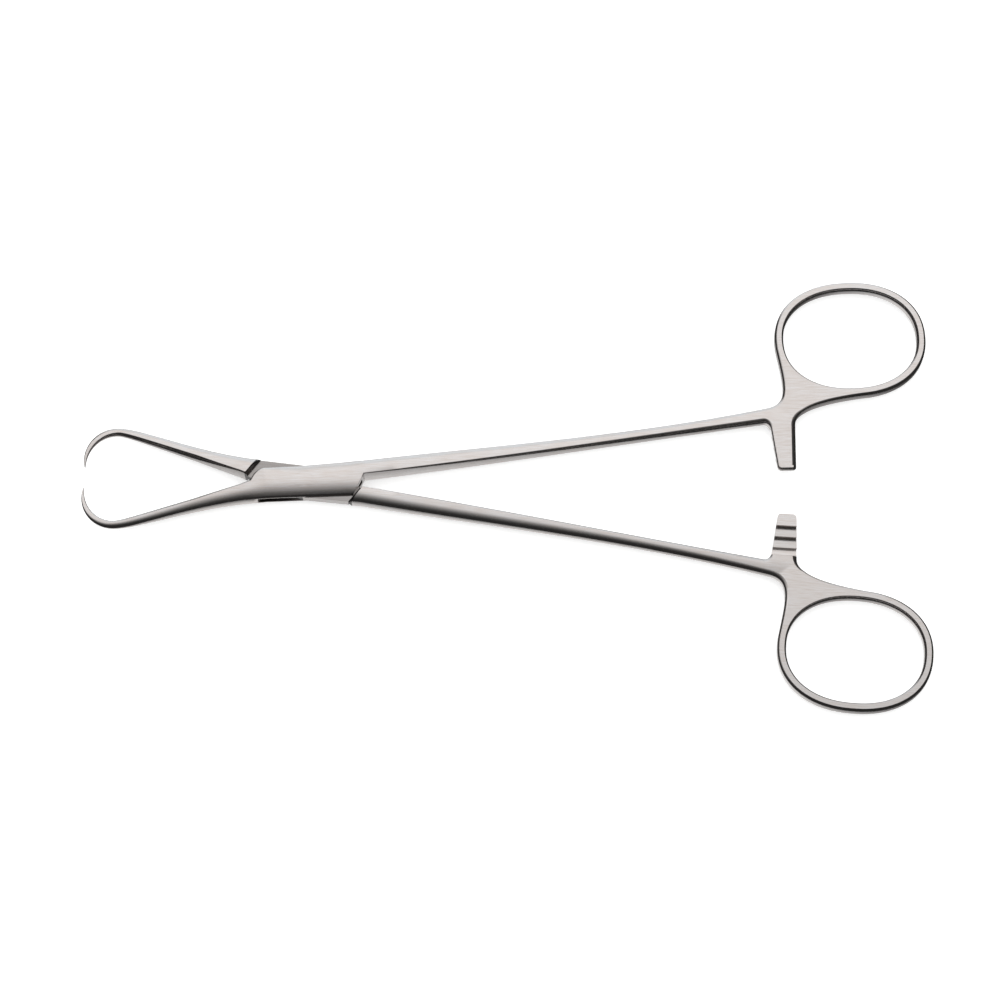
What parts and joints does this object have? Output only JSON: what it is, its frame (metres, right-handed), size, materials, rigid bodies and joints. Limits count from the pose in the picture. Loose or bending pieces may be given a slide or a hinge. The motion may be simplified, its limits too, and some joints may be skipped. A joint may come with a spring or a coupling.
{
  "type": "tenaculum forceps",
  "caption": "Ring-handled forceps with a box lock, long slim shanks, a toothed ratchet between the handles and hooked jaws that curl round to meet point to point.",
  "frame": {"origin": "on the pivot axis, at the underside of the lock", "axes": "+X from the pivot towards the finger rings, midway between the two halves; +Z along the pivot, out of the upper face; +Y towards the ring of the box half"},
  "size_m": [0.1793, 0.0966, 0.0048],
  "materials": {
    "satin_steel_box": "satin, brushed lengthwise",
    "satin_steel_tongue": "satin, brushed lengthwise",
    "ground_steel_pin": "ground flush with the cheeks"
  },
  "bodies": {
    "box_body": {"box_half": "satin_steel_box", "pivot_pin": "ground_steel_pin"},
    "tongue_body": {"tongue_half": "satin_steel_tongue"}
  },
  "joints": [
    {"name": "box_lock", "type": "hinge", "parent": "box_body", "child": "tongue_body", "pos_m": [0, 0, 0], "axis": [0, 0, -1], "range_deg": [-5, 40]}
  ]
}
